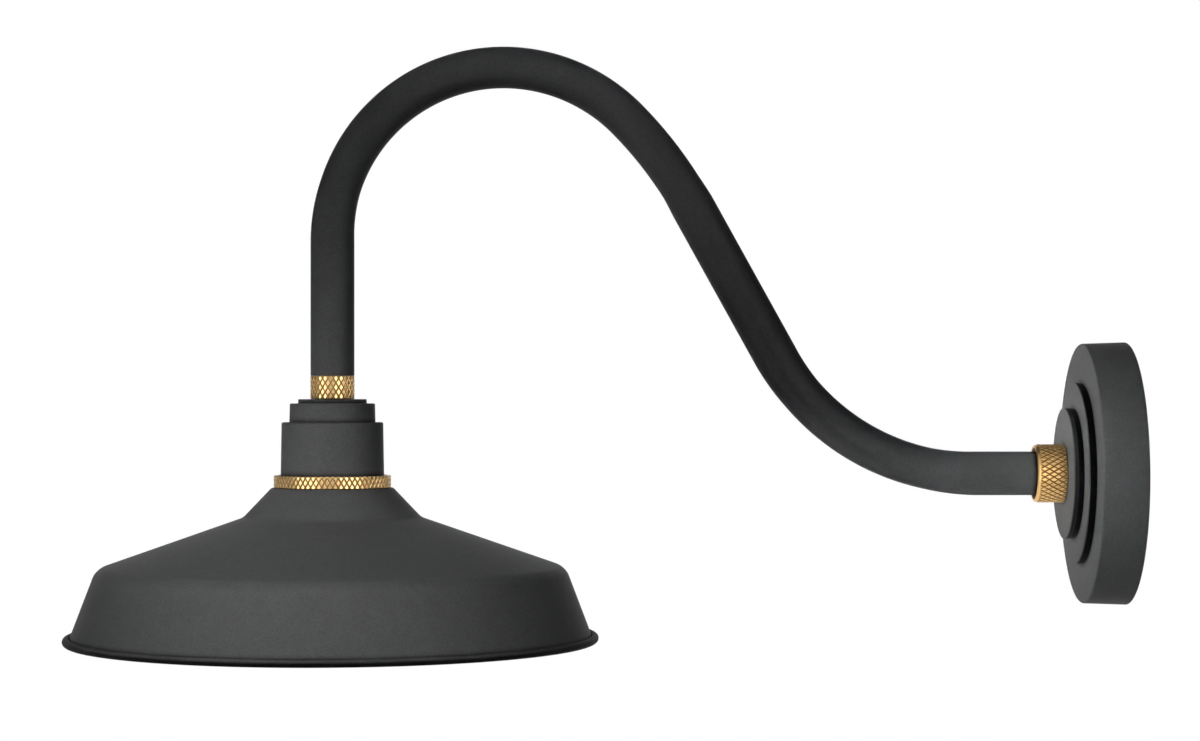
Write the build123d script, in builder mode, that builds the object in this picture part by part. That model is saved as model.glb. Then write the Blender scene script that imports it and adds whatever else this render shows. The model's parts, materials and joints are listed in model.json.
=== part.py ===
"""Gooseneck barn light: wall canopy, bent arm, lamp head, spun shade and bulb, joined by three ring nuts.

Millimetres. The origin is the centre of the canopy's back face, on the wall. The wall is the plane Y = 0,
the arm reaches out along -Y, Z is up, and X is across the light.
"""
import os
from math import cos, hypot, radians, sin, tan

from build123d import *

# Fits and gaps
face_gap = 0.1            # flat faces that turn or part
slide_gap = 0.05          # radial, a round piece in its bore
hole_gap = 0.2            # radial, a screw in a plain hole
thread_gap = 0.2          # radial, a thread's crest in the smooth bore of its ring nut
ring_gap = 0.3            # radial, a ring nut's lip round the piece that it turns on

# Threads of the three ring nuts
thread_pitch = 1.5
thread_depth = 0.8
thread_margin = 0.9       # plain length at each end of a thread
ring_thread_share = 0.75  # a ridge's root width over its pitch
lamp_thread_share = 0.5
ridge_tip_share = 0.33    # a ridge's tip width over its root width
ridge_sink_share = 0.25   # how far a ridge's root is sunk in its wall, over its depth

# Wall canopy
canopy_radius = 75.0
canopy_draft = 0.8        # the drum is this much smaller at its front
drum_depth = 25.0
middle_radius = 52.0
middle_step = 4.4
front_radius = 37.6
front_step = 5.6
canopy_wall = 3.2
canopy_edge = 0.8

# Gasket let into the canopy's back rim
gasket_depth = 3.0
gasket_width = 3.5
gasket_let_in = 0.7

# Bar that is screwed to the wall box; its ears take the canopy's set screws
bar_width = 24.0
bar_thickness = 2.0
bar_bend = 2.0
ear_height = 18.0
ear_room = 4.8            # from an ear to the canopy's inner wall
slot_spacing = 79.4
slot_length = 14.6
slot_width = 5.0
nipple_hole_radius = 5.2
ground_screw_z = -20.0
ground_screw_radius = 2.4
ground_head_radius = 4.6
ground_head_height = 2.2

# Set screws through the canopy's side
set_screw_radius = 2.0
set_screw_depth = 10.0    # from the wall
set_screw_recess = 0.3
set_screw_reach = 1.0     # past the ear
key_radius = 1.15
key_depth = 2.0

# Hub bolted through the canopy's front, and its nut
hub_thread_step = 2.5     # from the arm's radius out to the thread's crest
hub_length = 8.4
hub_shoulder = 3.0        # from the thread's crest in to the shank
hub_wall = 2.0
hub_tail = 2.0            # shank left past the nut
washer_radius = 19.0
washer_thickness = 1.5
nut_flats = 34.0
nut_height = 6.0

# Arm's end at the wall
root_seal = 1.0
root_flange_room = 0.7    # from the flange out to the thread's crest
root_flange = 2.4
spigot_length = 18.0
spigot_wall = 2.95
root_plug = 11.0
wall_ring_wall = 1.5
wall_ring_lip = 4.6
ring_band = 1.4           # plain band at the end of a ring nut
ring_edge = 0.4

# Arm: a bent tube
arm_radius = 12.5
arm_wall = 1.6
wall_run = 39.0
wall_bend_radius = 130.3
rise_angle = 61.0
rise_length = 98.1
ease_radius = 228.0
ease_angle = 15.7
crown_radius = 99.7
crown_angle = 46.8
nose_radius = 97.8
drop_length = 78.6

# Arm's end at the head
tip_plug = 12.0
tip_neck_step = 2.2       # from the neck out to the flange that the ring nut's lip catches
tip_flange_room = 1.0     # from the flange out to the thread's crest
tip_flange = 2.6
tip_seal = 0.4
tip_seal_width = 3.4
arm_ring_proud = 0.1      # the ring nut stands this much outside the arm
arm_ring_wall = 1.4
arm_ring_lip = 2.5

# Cap of the head
cap_thread_length = 7.8
cap_bore_room = 0.5       # wider than the bore above it
disc_step = 4.75          # from the cap's edge in to the disc's
disc_height = 2.4
cap_step = 4.7            # from the cup's edge in to the cap's
cap_draft = 0.25
cap_height = 10.8
cap_wall = 2.5
cap_edge = 0.8

# Cup of the head
cup_thread_step = 1.65    # from the cup's lower edge out to the crest of the shade's thread
cup_draft = 0.5
cup_height = 30.3
cup_wall = 2.2
cup_edge = 0.9
cup_hole_room = 0.4       # round the tails that pass through the cup's hole
cup_flange_room = 0.45    # from the flange out to the thread's crest
cup_flange = 1.6
cup_seal = 0.4

# Ring nut that holds the shade
shade_ring_wall = 2.1
shade_ring_lip = 1.6

# Shade
shade_thread_radius = 31.15
shade_thread_length = 3.5
shade_collar_wall = 2.0
shade_flange = 3.35       # from the thread's root in to the hole in the shade
shade_lip = 2.0           # the collar is rolled out this far under the shade
shade_wall = 1.2
neck_ledge = 1.35         # the shade's flat top shows this much round the ring nut
neck_height = 16.9
kink_radius = 50.9
dome_height = 29.0
shoulder_radius = 133.7
skirt_height = 40.0
rim_radius = 152.4
bead_radius = 2.35
neck_round = 1.6
kink_round = 7.0
shoulder_round = 15.0

# Screws that clamp the bracket, the cup and the cap together
cap_boss_radius = 3.6
cap_boss_sink = 1.0
cap_screw_radius = 1.9
cap_screw_bite = 6.0
screw_head_radius = 3.2
screw_head_height = 2.0
driver_slot_width = 1.0
driver_slot_depth = 0.9

# Bracket and lamp holder
bracket_width = 16.0
bracket_overhang = 4.6    # past the screws
bracket_thickness = 1.5
holder_radius = 20.0
holder_boss_radius = 9.0
holder_boss_height = 3.9
holder_height = 29.0
holder_edge = 1.5
holder_roof = 4.0
holder_screw_radius = 2.0
holder_screw_bite = 5.5
terminal_x = 4.0
terminal_radius = 1.5
terminal_head_radius = 2.5
terminal_head_height = 2.0
terminal_bite = 3.2

# Edison screw, 26 mm
lamp_pitch = 3.629
lamp_turns = 4
lamp_crest_radius = 13.1
lamp_thread_depth = 0.8
shell_room = 0.5          # from the bulb's crest out to the shell's bore
shell_wall = 0.5
shell_ridge = 0.85
shell_setback = 2.0       # from the holder's mouth
contact_radius = 4.5
contact_height = 0.8

# Bulb
button_radius = 4.8
button_height = 2.0
button_edge = 0.9
insulator_height = 2.5
insulator_tip = 5.6
base_height = 21.1
base_wall = 0.6
globe_radius = 30.0
globe_length = 80.4
globe_neck_inset = 0.2    # from the crest of the base's thread in to the neck
globe_neck = 2.5
globe_wall = 0.8
globe_spigot = 6.0

# Leads
lead_radius = 1.3
lead_offset = 2.2
lead_room = 1.5           # round the leads, in the arm's narrowest bore
lead_bend = 12.0
lead_side_depth = 11.0    # from the wall, where the leads turn aside in the canopy
lead_side_reach = 34.0
lead_setback = 2.0        # below the arm's tip
tail_radius = 1.1
tail_rise = 1.6           # from the cap's ceiling up to where a tail turns aside
tail_run = 6.4            # from a terminal up to where its tail turns
easy_bend_share = 0.45    # of the shorter run, taken up by a bend
sleeve_length = 6.0
sleeve_wall = 0.7
connector_radius = 4.6
connector_tip_radius = 3.2
connector_length = 18.0
connector_socket = 7.0

# Radii at the wall, from the arm outwards and then inwards
hub_thread_radius = arm_radius + hub_thread_step
hub_shank_radius = hub_thread_radius - hub_shoulder
hub_bore = hub_shank_radius - hub_wall
root_flange_radius = hub_thread_radius - root_flange_room
root_bore = hub_bore - slide_gap - spigot_wall
wall_ring_radius = hub_thread_radius + thread_gap + wall_ring_wall
arm_bore = arm_radius - arm_wall

# Radii at the head, from the arm and from the shade's thread
arm_ring_radius = arm_radius + arm_ring_proud
cap_thread_radius = arm_ring_radius - arm_ring_wall - thread_gap
tip_flange_radius = cap_thread_radius - tip_flange_room
tip_neck_radius = tip_flange_radius - tip_neck_step
tip_bore = lead_offset + lead_radius + lead_room
cap_bore = tip_bore + cap_bore_room
cup_lower_radius = shade_thread_radius - cup_thread_step
cup_radius = cup_lower_radius - cup_draft
cap_radius = cup_radius - cap_step
disc_radius = cap_radius - disc_step
cup_flange_radius = shade_thread_radius - cup_flange_room
shade_ring_radius = shade_thread_radius + thread_gap + shade_ring_wall
neck_radius = shade_ring_radius + neck_ledge
shade_hole = shade_thread_radius - thread_depth - shade_flange
shade_lip_radius = shade_hole + shade_lip
shade_collar_bore = shade_hole - shade_collar_wall
shell_radius = lamp_crest_radius + shell_room
globe_neck_radius = lamp_crest_radius - globe_neck_inset
terminal_y = holder_boss_radius + terminal_head_radius
cup_hole = hypot(terminal_x, terminal_y) + tail_radius + cup_hole_room

# Stations along the canopy's axis, measured from the wall
canopy_front_radius = canopy_radius - canopy_draft
canopy_inner_radius = canopy_radius - canopy_wall
canopy_depth = drum_depth + middle_step + front_step
canopy_inside = canopy_depth - canopy_wall
hub_end = canopy_depth + hub_length
tube_start = hub_end + root_seal + root_flange
wall_ring_start = canopy_depth + 2 * face_gap
wall_lip_start = tube_start + face_gap
wall_ring_end = wall_lip_start + wall_ring_lip
bar_half = canopy_inner_radius - ear_room

# Planes and axes; a turned outline is (radius, distance along the axis)
wall_profile = Plane((0, 0, 0), x_dir=(1, 0, 0), z_dir=(0, 0, -1))
arm_plane = Plane((0, 0, 0), x_dir=(0, -1, 0), z_dir=(-1, 0, 0))


def turned(plane, axis, outline, mode=Mode.ADD):
    """Revolve an outline of (radius, distance) points; a third value rounds that corner."""
    with BuildSketch(plane) as profile:
        with BuildLine():
            Polyline(*[point[:2] for point in outline], close=True)
        make_face()
        for across, along, rounding in [point for point in outline if len(point) == 3]:
            fillet(profile.vertices().sort_by_distance((across, along))[0], rounding)
    revolve(profile.sketch, axis=axis, mode=mode)


def ridge(root_radius, depth, pitch, length, start, direction, root_width, inward=False):
    """Add a helical ridge that stands out of a wall of this radius, or into its bore."""
    sunk = depth * ridge_sink_share
    tip_width = root_width * ridge_tip_share
    path = Helix(pitch, length, root_radius, center=start, direction=direction)
    outward = (path @ 0) - Vector(start)
    with BuildSketch(Plane(path @ 0, x_dir=-outward if inward else outward, z_dir=path % 0)) as profile:
        with BuildLine():
            Polyline((-sunk, -root_width / 2), (depth, -tip_width / 2),
                     (depth, tip_width / 2), (-sunk, root_width / 2), close=True)
        make_face()
    sweep(profile.sketch, path=path, is_frenet=True)


def ring_thread(crest_radius, length, start, direction):
    """Add the thread of a ring nut to the boss that is being built."""
    ridge(crest_radius - thread_depth, thread_depth, thread_pitch, length - 2 * thread_margin,
          start + direction * thread_margin, direction, thread_pitch * ring_thread_share)


def arm_route(sideways):
    """The arm's centre line, from the tube's end at the wall to its tip, moved across by sideways."""
    with BuildLine(arm_plane.offset(-sideways)) as route:
        start = Line((tube_start, 0), (tube_start + wall_run, 0))
        wall_bend = JernArc(start @ 1, start % 1, wall_bend_radius, rise_angle)
        rise = Line(wall_bend @ 1, (wall_bend @ 1) + (wall_bend % 1) * rise_length)
        ease = JernArc(rise @ 1, rise % 1, ease_radius, -ease_angle)
        crown = JernArc(ease @ 1, ease % 1, crown_radius, -crown_angle)
        nose = JernArc(crown @ 1, crown % 1, nose_radius, -(90 + rise_angle - ease_angle - crown_angle))
        Line(nose @ 1, (nose @ 1) + (nose % 1) * drop_length)
    return route.line


# Stations along the head's axis, which hangs from the arm's tip
arm_line = arm_route(0)
tip = arm_line @ 1
reach = -tip.Y
arm_ring_top = tip.Z - face_gap
tip_flange_top = arm_ring_top - arm_ring_lip - face_gap
tip_flange_bottom = tip_flange_top - tip_flange
cap_thread_top = tip_flange_bottom - tip_seal
cap_top = cap_thread_top - cap_thread_length
arm_ring_bottom = cap_top + face_gap
disc_bottom = cap_top - disc_height
cap_ceiling = disc_bottom - cap_wall
cup_top = disc_bottom - cap_height
cup_ceiling = cup_top - cup_wall
shade_ring_top = cup_top - cup_height
cup_flange_top = shade_ring_top - shade_ring_lip - face_gap
cup_flange_bottom = cup_flange_top - cup_flange
shade_thread_top = cup_flange_bottom - cup_seal
shade_top = shade_thread_top - shade_thread_length
shade_ring_bottom = shade_top + face_gap
shade_under = shade_top - shade_wall
bracket_bottom = cup_ceiling - bracket_thickness
holder_shoulder = bracket_bottom - holder_boss_height
holder_ceiling = holder_shoulder - holder_roof
holder_mouth = holder_shoulder - holder_height
contact_bottom = holder_ceiling - contact_height
button_top = contact_bottom - face_gap
insulator_top = button_top - button_height
base_top = insulator_top - insulator_height
base_bottom = base_top - base_height
globe_bottom = base_bottom - globe_length

head_profile = Plane.XZ.offset(reach)
head_axis = Axis((0, -reach, 0), (0, 0, 1))


def head_point(x, y, z):
    """A point given from the head's axis, with y away from the wall."""
    return (x, -reach - y, z)


# Hollow stepped canopy on the wall
gasket_radius = canopy_inner_radius + gasket_let_in
with BuildPart() as wall_canopy:
    turned(wall_profile, Axis.Y, [
        (canopy_radius, 0),
        (canopy_front_radius, drum_depth, canopy_edge),
        (middle_radius, drum_depth),
        (middle_radius, drum_depth + middle_step, canopy_edge),
        (front_radius, drum_depth + middle_step),
        (front_radius, canopy_depth, canopy_edge),
        (hub_shank_radius + hole_gap, canopy_depth),
        (hub_shank_radius + hole_gap, canopy_inside),
        (front_radius - canopy_wall, canopy_inside),
        (front_radius - canopy_wall, canopy_inside - front_step),
        (middle_radius - canopy_wall, canopy_inside - front_step),
        (middle_radius - canopy_wall, drum_depth - canopy_wall),
        (canopy_front_radius - canopy_wall, drum_depth - canopy_wall),
        (canopy_inner_radius, gasket_depth),
        (gasket_radius + slide_gap, gasket_depth),
        (gasket_radius + slide_gap, 0),
    ])
    with BuildSketch(Plane((0, -set_screw_depth, -canopy_radius))):
        Circle(set_screw_radius + slide_gap)
    extrude(amount=2 * canopy_radius, mode=Mode.SUBTRACT)
wall_canopy.part.label = "wall_canopy"

with BuildPart() as wall_gasket:
    turned(wall_profile, Axis.Y, [
        (gasket_radius - gasket_width, 0),
        (gasket_radius, 0),
        (gasket_radius, gasket_depth),
        (gasket_radius - gasket_width, gasket_depth),
    ])
wall_gasket.part.label = "wall_gasket"

# Slotted bar on the wall box, with an ear at each end
with BuildPart() as mounting_bar:
    with BuildSketch(arm_plane) as bar_section:
        with BuildLine():
            Polyline(
                (0, -bar_half), (0, bar_half), (ear_height, bar_half), (ear_height, bar_half - bar_thickness),
                (bar_thickness, bar_half - bar_thickness), (bar_thickness, bar_thickness - bar_half),
                (ear_height, bar_thickness - bar_half), (ear_height, -bar_half), close=True)
        make_face()
        for side in (1, -1):
            outer_corner = bar_section.vertices().sort_by_distance((0, side * bar_half))[0]
            fillet(outer_corner, bar_bend + bar_thickness)
            inner_place = (bar_thickness, side * (bar_half - bar_thickness))
            fillet(bar_section.vertices().sort_by_distance(inner_place)[0], bar_bend)
    extrude(amount=bar_width / 2, both=True)
    with BuildSketch(Plane.XZ):
        with Locations((0, slot_spacing / 2), (0, -slot_spacing / 2)):
            SlotOverall(slot_length, slot_width, rotation=90)
        Circle(nipple_hole_radius)
        with Locations((0, ground_screw_z)):
            Circle(ground_screw_radius + slide_gap)
    extrude(amount=bar_thickness, mode=Mode.SUBTRACT)
    with BuildSketch(Plane((0, -set_screw_depth, -bar_half))):
        Circle(set_screw_radius + slide_gap)
    extrude(amount=2 * bar_half, mode=Mode.SUBTRACT)
mounting_bar.part.label = "mounting_bar"

set_screw_outer = canopy_front_radius - set_screw_recess
set_screw_inner = bar_half - bar_thickness - set_screw_reach
with BuildPart() as canopy_set_screws:
    for side in (1, -1):
        outer_end = Plane((0, -set_screw_depth, side * set_screw_outer), x_dir=(1, 0, 0), z_dir=(0, 0, -side))
        with BuildSketch(outer_end):
            Circle(set_screw_radius)
        extrude(amount=set_screw_outer - set_screw_inner)
        with BuildSketch(outer_end):
            RegularPolygon(key_radius, 6)
        extrude(amount=key_depth, mode=Mode.SUBTRACT)
canopy_set_screws.part.label = "canopy_set_screws"

with BuildPart() as ground_screw:
    with BuildSketch(Plane.XZ.offset(face_gap)):
        with Locations((0, ground_screw_z)):
            Circle(ground_screw_radius)
    extrude(amount=bar_thickness - face_gap)
    with BuildSketch(Plane.XZ.offset(bar_thickness)):
        with Locations((0, ground_screw_z)):
            RegularPolygon(ground_head_radius, 6)
    extrude(amount=ground_head_height)
    with BuildSketch(Plane.XZ.offset(bar_thickness + ground_head_height)):
        with Locations((0, ground_screw_z)):
            Rectangle(2 * ground_head_radius, driver_slot_width)
    extrude(amount=-driver_slot_depth, mode=Mode.SUBTRACT)
ground_screw.part.label = "ground_screw"

# Threaded hub through the canopy's front, with its washer and nut inside
nut_front = canopy_inside - washer_thickness
nut_back = nut_front - nut_height
with BuildPart() as canopy_hub:
    turned(wall_profile, Axis.Y, [
        (hub_bore, nut_back - hub_tail),
        (hub_shank_radius, nut_back - hub_tail),
        (hub_shank_radius, canopy_depth),
        (hub_thread_radius - thread_depth, canopy_depth),
        (hub_thread_radius - thread_depth, hub_end, ring_edge),
        (hub_bore, hub_end),
    ])
    ring_thread(hub_thread_radius, hub_length, Vector(0, -canopy_depth, 0), Vector(0, -1, 0))
canopy_hub.part.label = "canopy_hub"

with BuildPart() as hub_washer:
    turned(wall_profile, Axis.Y, [
        (hub_shank_radius + hole_gap, nut_front),
        (washer_radius, nut_front),
        (washer_radius, canopy_inside),
        (hub_shank_radius + hole_gap, canopy_inside),
    ])
hub_washer.part.label = "hub_washer"

with BuildPart() as hub_nut:
    with BuildSketch(Plane.XZ.offset(nut_back)):
        RegularPolygon(nut_flats / 2, 6, major_radius=False)
        Circle(hub_shank_radius + slide_gap, mode=Mode.SUBTRACT)
    extrude(amount=nut_height)
hub_nut.part.label = "hub_nut"

# Arm's end at the wall: a spigot in the hub, a flange for the ring nut and a plug in the tube
with BuildPart() as arm_root_fitting:
    turned(wall_profile, Axis.Y, [
        (root_bore, hub_end - spigot_length),
        (hub_bore - slide_gap, hub_end - spigot_length, ring_edge),
        (hub_bore - slide_gap, hub_end + root_seal),
        (root_flange_radius, hub_end + root_seal),
        (root_flange_radius, tube_start),
        (arm_bore - slide_gap, tube_start),
        (arm_bore - slide_gap, tube_start + root_plug),
        (root_bore, tube_start + root_plug),
    ])
arm_root_fitting.part.label = "arm_root_fitting"

with BuildPart() as arm_root_seal:
    turned(wall_profile, Axis.Y, [
        (hub_bore, hub_end),
        (hub_thread_radius - thread_depth, hub_end),
        (hub_thread_radius - thread_depth, hub_end + root_seal),
        (hub_bore, hub_end + root_seal),
    ])
arm_root_seal.part.label = "arm_root_seal"

with BuildPart() as gooseneck_arm:
    with BuildSketch(Plane(arm_line @ 0, z_dir=arm_line % 0)) as tube_section:
        Circle(arm_radius)
        Circle(arm_bore, mode=Mode.SUBTRACT)
    sweep(tube_section.sketch, path=arm_line)
gooseneck_arm.part.label = "gooseneck_arm"

with BuildPart() as wall_collar:
    turned(wall_profile, Axis.Y, [
        (hub_thread_radius + thread_gap, wall_ring_start),
        (wall_ring_radius, wall_ring_start, ring_edge),
        (wall_ring_radius, wall_ring_end - ring_band),
        (wall_ring_radius - ring_edge, wall_ring_end - ring_band),
        (wall_ring_radius - ring_edge, wall_ring_end, ring_edge),
        (arm_radius + ring_gap, wall_ring_end),
        (arm_radius + ring_gap, wall_lip_start),
        (hub_thread_radius + thread_gap, wall_lip_start),
    ])
wall_collar.part.label = "wall_collar"

# Arm's end at the head: a plug in the tube, a neck and a flange for the ring nut
with BuildPart() as arm_tip_fitting:
    turned(head_profile, head_axis, [
        (tip_bore, tip.Z + tip_plug),
        (arm_bore - slide_gap, tip.Z + tip_plug),
        (arm_bore - slide_gap, tip.Z),
        (tip_neck_radius, tip.Z),
        (tip_neck_radius, tip_flange_top),
        (tip_flange_radius, tip_flange_top),
        (tip_flange_radius, tip_flange_bottom),
        (tip_bore, tip_flange_bottom),
    ])
arm_tip_fitting.part.label = "arm_tip_fitting"

with BuildPart() as arm_tip_seal:
    turned(head_profile, head_axis, [
        (tip_flange_radius - tip_seal_width, cap_thread_top),
        (tip_flange_radius, cap_thread_top),
        (tip_flange_radius, tip_flange_bottom),
        (tip_flange_radius - tip_seal_width, tip_flange_bottom),
    ])
arm_tip_seal.part.label = "arm_tip_seal"

with BuildPart() as arm_collar:
    turned(head_profile, head_axis, [
        (tip_neck_radius + ring_gap, arm_ring_top),
        (arm_ring_radius, arm_ring_top, ring_edge),
        (arm_ring_radius, arm_ring_bottom, ring_edge),
        (cap_thread_radius + thread_gap, arm_ring_bottom),
        (cap_thread_radius + thread_gap, tip_flange_top + face_gap),
        (tip_neck_radius + ring_gap, tip_flange_top + face_gap),
    ])
arm_collar.part.label = "arm_collar"

# Cap with its threaded boss on top and two screw bosses inside
cap_inner_radius = cap_radius + cap_draft - cap_wall
cap_screw_x = cap_inner_radius - cap_boss_radius + cap_boss_sink
cap_screw_tip = cup_top + cap_screw_bite
cap_screw_places = [head_point(side * cap_screw_x, 0, 0)[:2] for side in (1, -1)]
with BuildPart() as socket_cap:
    turned(head_profile, head_axis, [
        (cap_bore, cap_thread_top),
        (cap_thread_radius - thread_depth, cap_thread_top, ring_edge),
        (cap_thread_radius - thread_depth, cap_top),
        (disc_radius, cap_top, ring_edge),
        (disc_radius, disc_bottom),
        (cap_radius, disc_bottom, cap_edge),
        (cap_radius + cap_draft, cup_top),
        (cap_inner_radius, cup_top),
        (cap_inner_radius - cap_draft, cap_ceiling),
        (cap_bore, cap_ceiling),
    ])
    ring_thread(cap_thread_radius, cap_thread_length, Vector(*head_point(0, 0, cap_top)), Vector(0, 0, 1))
    with BuildSketch(Plane.XY.offset(cup_top)):
        with Locations(*cap_screw_places):
            Circle(cap_boss_radius)
    extrude(amount=cap_ceiling - cup_top)
    with BuildSketch(Plane.XY.offset(cup_top)):
        with Locations(*cap_screw_places):
            Circle(cap_screw_radius + slide_gap)
    extrude(amount=cap_screw_bite + face_gap, mode=Mode.SUBTRACT)
socket_cap.part.label = "socket_cap"

# Cup round the lamp holder, with a flange for the shade's ring nut
with BuildPart() as socket_cup:
    turned(head_profile, head_axis, [
        (cup_hole, cup_top),
        (cup_radius, cup_top, cup_edge),
        (cup_lower_radius, shade_ring_top),
        (cup_lower_radius, cup_flange_top),
        (cup_flange_radius, cup_flange_top),
        (cup_flange_radius, cup_flange_bottom),
        (cup_lower_radius - cup_wall, cup_flange_bottom),
        (cup_radius - cup_wall, cup_ceiling),
        (cup_hole, cup_ceiling),
    ])
    with BuildSketch(Plane.XY.offset(cup_ceiling)):
        with Locations(*cap_screw_places):
            Circle(cap_screw_radius + hole_gap)
    extrude(amount=cup_wall, mode=Mode.SUBTRACT)
socket_cup.part.label = "socket_cup"

with BuildPart() as cup_seal_ring:
    turned(head_profile, head_axis, [
        (cup_lower_radius - cup_wall, shade_thread_top),
        (shade_thread_radius - thread_depth, shade_thread_top),
        (shade_thread_radius - thread_depth, cup_flange_bottom),
        (cup_lower_radius - cup_wall, cup_flange_bottom),
    ])
cup_seal_ring.part.label = "cup_seal_ring"

with BuildPart() as shade_ring:
    turned(head_profile, head_axis, [
        (cup_lower_radius + ring_gap, shade_ring_top),
        (shade_ring_radius, shade_ring_top, ring_edge),
        (shade_ring_radius, shade_ring_bottom, ring_edge),
        (shade_thread_radius + thread_gap, shade_ring_bottom),
        (shade_thread_radius + thread_gap, cup_flange_top + face_gap),
        (cup_lower_radius + ring_gap, cup_flange_top + face_gap),
    ])
shade_ring.part.label = "shade_ring"

# Spun shade with a wired rim, and the threaded collar that is rolled into its top
kink_z = shade_top - neck_height
shoulder_z = kink_z - dome_height
bead_z = shoulder_z - skirt_height
bead_center = rim_radius - bead_radius
with BuildPart() as shade:
    with BuildSketch(head_profile):
        with BuildLine():
            outside = FilletPolyline(
                (shade_hole, shade_top), (neck_radius, shade_top), (kink_radius, kink_z),
                (shoulder_radius, shoulder_z), (bead_center - bead_radius + shade_wall, bead_z),
                radius=[neck_round, kink_round, shoulder_round])
            offset(outside, amount=shade_wall, side=Side.RIGHT)
        make_face()
        with Locations((bead_center, bead_z)):
            Circle(bead_radius)
    revolve(axis=head_axis)
shade.part.label = "shade"

with BuildPart() as shade_collar:
    turned(head_profile, head_axis, [
        (shade_collar_bore, shade_thread_top),
        (shade_thread_radius - thread_depth, shade_thread_top),
        (shade_thread_radius - thread_depth, shade_top),
        (shade_hole - slide_gap, shade_top),
        (shade_hole - slide_gap, shade_under),
        (shade_lip_radius, shade_under),
        (shade_lip_radius, shade_under - shade_wall, ring_edge),
        (shade_collar_bore, shade_under - shade_wall),
    ])
    ring_thread(shade_thread_radius, shade_thread_length,
                Vector(*head_point(0, 0, shade_top)), Vector(0, 0, 1))
shade_collar.part.label = "shade_collar"

# Bracket across the cup's ceiling, and the screws that hold it, the cup and the cap together
with BuildPart() as socket_bracket:
    with BuildSketch(Plane.XY.offset(bracket_bottom)):
        with Locations(head_point(0, 0, 0)[:2]):
            SlotOverall(2 * (cap_screw_x + bracket_overhang), bracket_width)
            Circle(holder_screw_radius + hole_gap, mode=Mode.SUBTRACT)
        with Locations(*cap_screw_places):
            Circle(cap_screw_radius + hole_gap, mode=Mode.SUBTRACT)
    extrude(amount=bracket_thickness)
socket_bracket.part.label = "socket_bracket"

with BuildPart() as cap_screws:
    with BuildSketch(Plane.XY.offset(bracket_bottom)):
        with Locations(*cap_screw_places):
            Circle(screw_head_radius)
    extrude(amount=-screw_head_height)
    with BuildSketch(Plane.XY.offset(bracket_bottom)):
        with Locations(*cap_screw_places):
            Circle(cap_screw_radius)
    extrude(amount=cap_screw_tip - bracket_bottom)
    with BuildSketch(Plane.XY.offset(bracket_bottom - screw_head_height)):
        with Locations(*cap_screw_places):
            Rectangle(2 * screw_head_radius, driver_slot_width)
    extrude(amount=driver_slot_depth, mode=Mode.SUBTRACT)
cap_screws.part.label = "cap_screws"

# Porcelain lamp holder, its screw shell, centre contact and terminal screws
holder_screw_tip = bracket_bottom - holder_screw_bite
holder_bore = shell_radius + shell_wall + slide_gap
terminal_places = [head_point(side * terminal_x, side * terminal_y, 0)[:2] for side in (1, -1)]
with BuildPart() as socket_body:
    turned(head_profile, head_axis, [
        (0, holder_ceiling),
        (holder_bore, holder_ceiling),
        (holder_bore, holder_mouth),
        (holder_radius, holder_mouth, holder_edge),
        (holder_radius, holder_shoulder, holder_edge),
        (holder_boss_radius, holder_shoulder),
        (holder_boss_radius, bracket_bottom),
        (holder_screw_radius + slide_gap, bracket_bottom),
        (holder_screw_radius + slide_gap, holder_screw_tip - face_gap),
        (0, holder_screw_tip - face_gap),
    ])
    with BuildSketch(Plane.XY.offset(holder_shoulder)):
        with Locations(*terminal_places):
            Circle(terminal_radius + slide_gap)
    extrude(amount=-terminal_bite - face_gap, mode=Mode.SUBTRACT)
socket_body.part.label = "socket_body"

with BuildPart() as holder_screw:
    turned(head_profile, head_axis, [
        (0, holder_screw_tip),
        (holder_screw_radius, holder_screw_tip),
        (holder_screw_radius, cup_ceiling),
        (screw_head_radius, cup_ceiling),
        (screw_head_radius, cup_ceiling + screw_head_height, ring_edge),
        (0, cup_ceiling + screw_head_height),
    ])
    with BuildSketch(Plane.XY.offset(cup_ceiling + screw_head_height)):
        with Locations(head_point(0, 0, 0)[:2]):
            Rectangle(2 * screw_head_radius, driver_slot_width)
    extrude(amount=-driver_slot_depth, mode=Mode.SUBTRACT)
holder_screw.part.label = "holder_screw"

lamp_thread_start = base_bottom + lamp_pitch
lamp_thread_length = lamp_turns * lamp_pitch
with BuildPart() as screw_shell:
    turned(head_profile, head_axis, [
        (shell_radius, holder_mouth + shell_setback),
        (shell_radius + shell_wall, holder_mouth + shell_setback),
        (shell_radius + shell_wall, holder_ceiling),
        (shell_radius, holder_ceiling),
    ])
    ridge(shell_radius, shell_ridge, lamp_pitch, lamp_thread_length,
          Vector(*head_point(0, 0, lamp_thread_start + lamp_pitch / 2)), Vector(0, 0, 1),
          lamp_pitch * lamp_thread_share, inward=True)
screw_shell.part.label = "screw_shell"

with BuildPart() as centre_contact:
    turned(head_profile, head_axis, [
        (0, contact_bottom),
        (contact_radius, contact_bottom, contact_height / 2),
        (contact_radius, holder_ceiling),
        (0, holder_ceiling),
    ])
centre_contact.part.label = "centre_contact"

with BuildPart() as terminal_screws:
    with BuildSketch(Plane.XY.offset(holder_shoulder)):
        with Locations(*terminal_places):
            Circle(terminal_head_radius)
    extrude(amount=terminal_head_height)
    with BuildSketch(Plane.XY.offset(holder_shoulder)):
        with Locations(*terminal_places):
            Circle(terminal_radius)
    extrude(amount=-terminal_bite)
terminal_screws.part.label = "terminal_screws"

# Bulb: tip contact, insulator, threaded base and glass globe
with BuildPart() as bulb_button:
    turned(head_profile, head_axis, [
        (0, insulator_top),
        (button_radius, insulator_top),
        (button_radius, button_top, button_edge),
        (0, button_top),
    ])
bulb_button.part.label = "bulb_button"

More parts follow.
